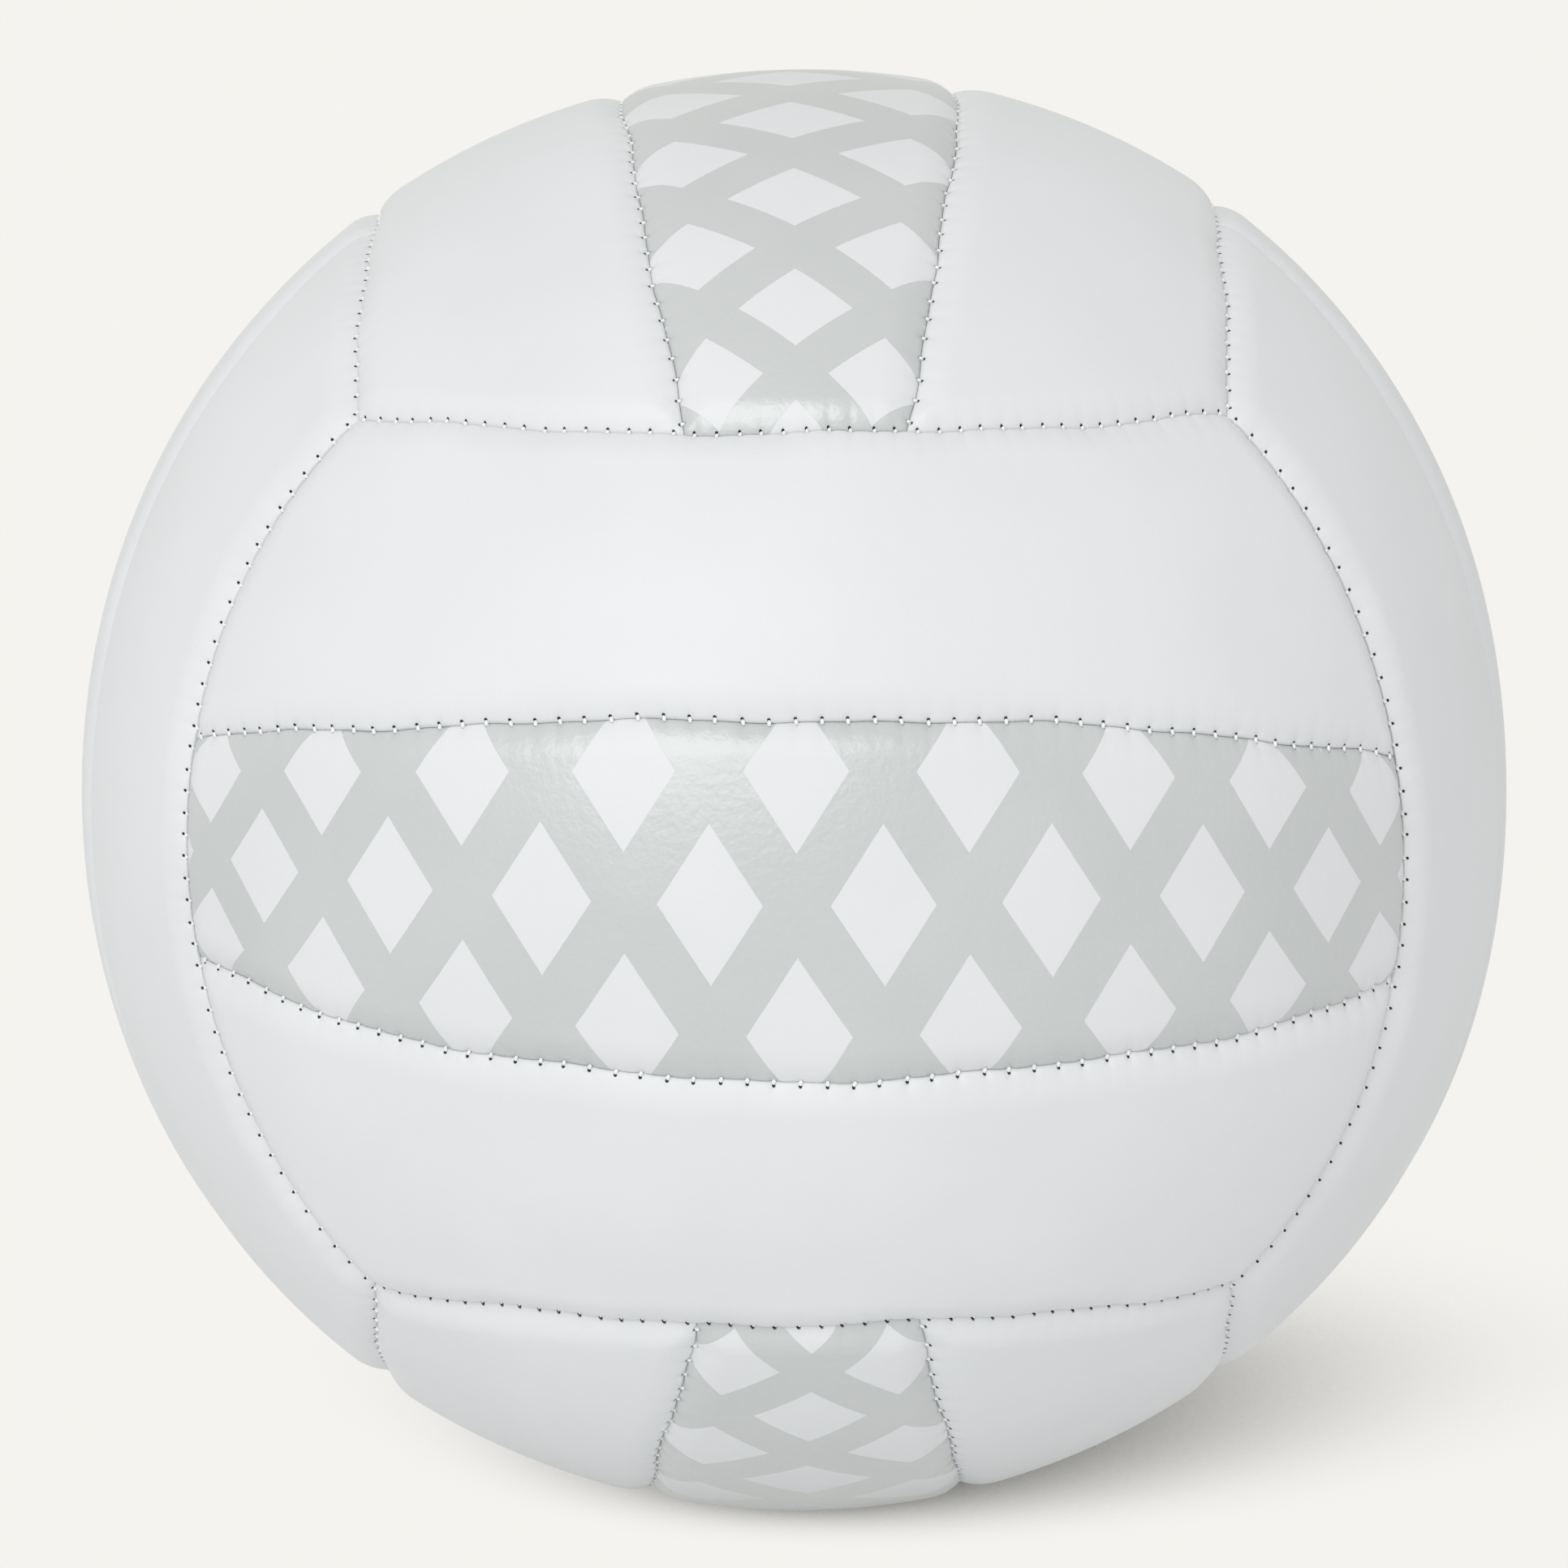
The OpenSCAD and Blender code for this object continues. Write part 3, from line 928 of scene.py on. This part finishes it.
def leather(name, printed):
    """Smooth synthetic leather with a fine grain, faint specks and painted shade in its needle
    holes.
    """
    shader = Shader(name, WHITE, LEATHER_ROUGHNESS, Specular_IOR_Level=LEATHER_SPECULAR)
    mottle = shader.mottle(BLOTCH_SIZE, 3.0)
    colour = shader.blend(mottle, WHITE, WHITE_SHADED)
    normal = shader.bump(shader.cells(GRAIN_SIZE), GRAIN_DEPTH)
    normal = shader.bump(shader.noise(RIPPLE_SIZE), RIPPLE_DEPTH, normal)
    if printed:
        ink = print_mask(shader)
        colour = shader.blend(ink, colour, shader.blend(mottle, INK, INK_SHADED))
        crinkle = shader.math("MULTIPLY", shader.noise(CRINKLE_SIZE, 4.0), ink)
        normal = shader.bump(crinkle, CRINKLE_DEPTH, normal)
        roughness = shader.ramp(ink, 0, 1, LEATHER_ROUGHNESS, INK_ROUGHNESS)
        shader.set(Metallic=shader.math("MULTIPLY", ink, INK_METALLIC), Roughness=roughness)
    colour = specks(shader, colour)
    shader.set(Base_Color=paint_needle_hole_shade(shader, colour), Normal=normal)
    return shader.material


def print_mask(shader):
    """1 on the bars of the print and 0 between them."""
    along, across, _ = shader.parts("strip")
    masks = []
    for way in (-1, 1):
        run = shader.math("MULTIPLY", along, math.sin(BAR_ANGLE))
        over = shader.math("MULTIPLY", across, way * math.cos(BAR_ANGLE))
        line = shader.math("ADD", run, over)
        beside = shader.math("PINGPONG", line, BAR_PITCH / 2)
        masks.append(shader.math("LESS_THAN", beside, BAR_WIDTH / 2))
    return shader.math("MAXIMUM", *masks)


def specks(shader, colour):
    """A few tiny grey specks, one in some of the cells."""
    spot = shader.math("LESS_THAN", shader.cells(SPECK_CELL), SPECK_R)
    cell_colour = shader.cells(SPECK_CELL, "Color")
    chance = shader.node("ShaderNodeSeparateColor", {"Color": cell_colour}).outputs[0]
    shown = shader.math("MULTIPLY", spot, shader.math("GREATER_THAN", chance, 1 - SPECK_CHANCE))
    return shader.blend(shader.math("MULTIPLY", shown, SPECK_STRENGTH), colour, SPECK)


def paint_needle_hole_shade(shader, colour):
    """Paints shade into the needle's hole at the end of each stitch."""
    phase, away, size = shader.parts("stitch")
    nearest = shader.math("SUBTRACT", shader.math("FRACT", shader.math("ADD", phase, 0.5)), 0.5)
    along = shader.math("MULTIPLY", nearest, MEAN_PITCH)
    squares = shader.math("ADD", shader.math("POWER", along, 2.0), shader.math("POWER", away, 2.0))
    radius = shader.math("DIVIDE", shader.math("SQRT", squares), shader.math("MAXIMUM", size, 1.0))
    strength = shader.math("MINIMUM", size, 1.0)
    hole = shader.math("MULTIPLY", shader.ramp(radius, HOLE_R, HOLE_R * HOLE_SHADE_CORE), strength)
    return shader.blend(hole, colour, HOLE_SHADE)


def thread_material():
    """White twisted polyester thread."""
    shader = Shader("thread", THREAD, THREAD_ROUGHNESS, Specular_IOR_Level=THREAD_SPECULAR)
    fibres = shader.noise(FIBRE_SIZE, 3.0)
    shader.set(Base_Color=shader.blend(shader.ramp(fibres, *FIBRE_RANGE), THREAD_SHADED, THREAD))
    shader.set(Normal=shader.bump(fibres, FIBRE_DEPTH))
    return shader.material


def plain_material(name, colour, shaded, roughness, size, depth):
    """A matt moulded, foamed or woven surface: blotches of two colours over a fine bump."""
    shader = Shader(name, colour, roughness)
    mottle = shader.mottle(size * BLOTCH_CELLS)
    shader.set(Base_Color=shader.blend(mottle, colour, shaded))
    shader.set(Normal=shader.bump(shader.cells(size), depth))
    return shader.material


# The studio and the camera

# The camera, and where the photograph has the ball's centre
CAMERA_DISTANCE = 0.9345
CAMERA_ELEVATION = math.radians(8.35)
PHOTO_SIDE_PX = 1932
FOCAL_PX = 7830
BALL_CENTRE_PX = (980.5, 972.5)
SENSOR_WIDTH = 36.0
FLOOR_HALF = 60.0
FLOOR_STEPS = 12
# The light of the surround, and the key light's strength, width and place
SKY_LEVEL = 0.645
KEY_LEVEL = 1.33
KEY_SPREAD = math.radians(48)
KEY_AZIMUTH = math.radians(-16)
KEY_ELEVATION = math.radians(29)
# The paper's colour to the light that it throws back
FLOOR_BOUNCE = (0.955, 0.96, 0.965)
# The ball's shadow on the paper: how open the view is from each point this way and this far, and
# the two shares of open view between which the shadow fades
SHADE_WAY = (-0.309, -0.951, 0.0)
SHADE_REACH = 0.468
SHADE_DARK, SHADE_CLEAR = 0.500, 0.818
SHADE_SAMPLES = 48


def camera():
    """Looks at the ball from a little above, with the ball where the photograph has it."""
    data = bpy.data.cameras.new("camera")
    data.sensor_width = SENSOR_WIDTH
    data.lens = FOCAL_PX * SENSOR_WIDTH / PHOTO_SIDE_PX
    data.clip_end = 4 * FLOOR_HALF
    back = Vector((0, -math.cos(CAMERA_ELEVATION), math.sin(CAMERA_ELEVATION)))
    right = Vector((1, 0, 0))
    up = back.cross(right)
    px = CAMERA_DISTANCE / FOCAL_PX
    across, down = (at - PHOTO_SIDE_PX / 2 for at in BALL_CENTRE_PX)
    aim = right * (-across * px) + up * (down * px)
    made = bpy.data.objects.new("camera", data)
    made.location = back * CAMERA_DISTANCE
    made.rotation_mode = "QUATERNION"
    made.rotation_quaternion = (aim - made.location).to_track_quat("-Z", "Y")
    bpy.context.scene.collection.objects.link(made)
    bpy.context.scene.camera = made


def floor():
    """A wide sheet of pale paper under the ball."""
    side = np.linspace(-1, 1, FLOOR_STEPS) * FLOOR_HALF / MM
    places = np.stack(np.meshgrid(side, side, [-BALL_R], indexing="ij"), -1).reshape(-1, 3)
    made = mesh_piece("floor", places, [grid_faces(FLOOR_STEPS, FLOOR_STEPS)], paper())


def paper():
    """Paper: warm white with the ball's soft shadow to the eye, plain white to the light."""
    shader = Shader("paper", FLOOR_BOUNCE, PAPER_ROUGHNESS, Specular_IOR_Level=0.0)
    way = shader.node("ShaderNodeCombineXYZ", dict(zip("XYZ", SHADE_WAY))).outputs[0]
    inputs = {"Distance": SHADE_REACH, "Normal": way}
    view = shader.node("ShaderNodeAmbientOcclusion", inputs, samples=SHADE_SAMPLES)
    shade = shader.ramp(view.outputs["AO"], SHADE_DARK, SHADE_CLEAR)
    seen = shader.node("ShaderNodeEmission", {"Color": (*PAPER, 1), "Strength": shade})
    eye = eye_rays(shader.tree)
    shaders = {0: eye, 1: shader.surface.outputs[0], 2: seen.outputs[0]}
    both = shader.node("ShaderNodeMixShader", shaders)
    shader.join(both.outputs[0], shader.tree.nodes["Material Output"].inputs["Surface"])
    return shader.material


def eye_rays(tree):
    """1 for what the camera sees, also in a reflection or through glass, and 0 otherwise."""
    path = tree.nodes.new("ShaderNodeLightPath")
    seen = path.outputs["Is Camera Ray"]
    for kind in ("Is Glossy Ray", "Is Transmission Ray"):
        either = tree.nodes.new("ShaderNodeMath")
        either.operation = "MAXIMUM"
        tree.links.new(seen, either.inputs[0])
        tree.links.new(path.outputs[kind], either.inputs[1])
        seen = either.outputs[0]
    return seen


def lights():
    """An even white surround, and one broad soft light from the upper left."""
    world = bpy.data.worlds.new("surround")
    world.use_nodes = True
    nodes, links = world.node_tree.nodes, world.node_tree.links
    light = nodes["Background"]
    light.inputs["Color"].default_value = (1, 1, 1, 1)
    light.inputs["Strength"].default_value = SKY_LEVEL
    seen = nodes.new("ShaderNodeBackground")
    seen.inputs["Color"].default_value = (*PAPER, 1)
    mix = nodes.new("ShaderNodeMixShader")
    links.new(eye_rays(world.node_tree), mix.inputs[0])
    links.new(light.outputs[0], mix.inputs[1])
    links.new(seen.outputs[0], mix.inputs[2])
    links.new(mix.outputs[0], nodes["World Output"].inputs["Surface"])
    bpy.context.scene.world = world

    data = bpy.data.lights.new("key", "SUN")
    data.energy = KEY_LEVEL
    data.angle = KEY_SPREAD
    key = bpy.data.objects.new("key", data)
    way = Vector((
        math.sin(KEY_AZIMUTH) * math.cos(KEY_ELEVATION),
        -math.cos(KEY_AZIMUTH) * math.cos(KEY_ELEVATION),
        math.sin(KEY_ELEVATION),
    ))
    key.rotation_mode = "QUATERNION"
    key.rotation_quaternion = way.to_track_quat("Z", "Y")
    bpy.context.scene.collection.objects.link(key)


def ball():
    """Every piece of the ball."""
    white = leather("white_leather", printed=False)
    printed = leather("printed_leather", printed=True)
    foam, cloth = plain_material("foam", *FOAM_LOOK), plain_material("cloth", *CLOTH_LOOK)
    for panel in PANELS:
        cover_piece(panel, printed if panel.printed else white)
        slab_piece(panel, "pad", "foam", FOAM_INSET, BALL_R - FOAM_INSET, FOAM_R_IN, foam)
        slab_piece(panel, "backing", "lining", FOAM_INSET, LINING_R, TRAY_R_IN, cloth)
    thread = thread_material()
    for name, _, across, out, _, _ in FACES:
        beside = [BESIDE[name, way] for way in (-1, 1)]
        between = [BETWEEN[seam_key(way * across, out)] for way in (-1, 1)]
        stitch_piece(f"thread_{name}_strips", beside, "strip_seam_stitches", thread)
        stitch_piece(f"thread_{name}_sides", between, "face_seam_stitches", thread)


def carried_over():
    """The rubber pieces that stay as the frame has them, with materials of their own."""
    rubber = plain_material("valve_rubber", *RUBBER_LOOK)
    butyl = plain_material("butyl", *BUTYL_LOOK)
    for node, material in (("valve_boot", rubber), ("valve_insert", rubber), ("bladder", butyl)):
        for slot in frame["nodes"][node].material_slots:
            slot.material = material


camera()
lights()
floor()
ball()
carried_over()
bpy.context.scene.view_settings.view_transform = "Standard"
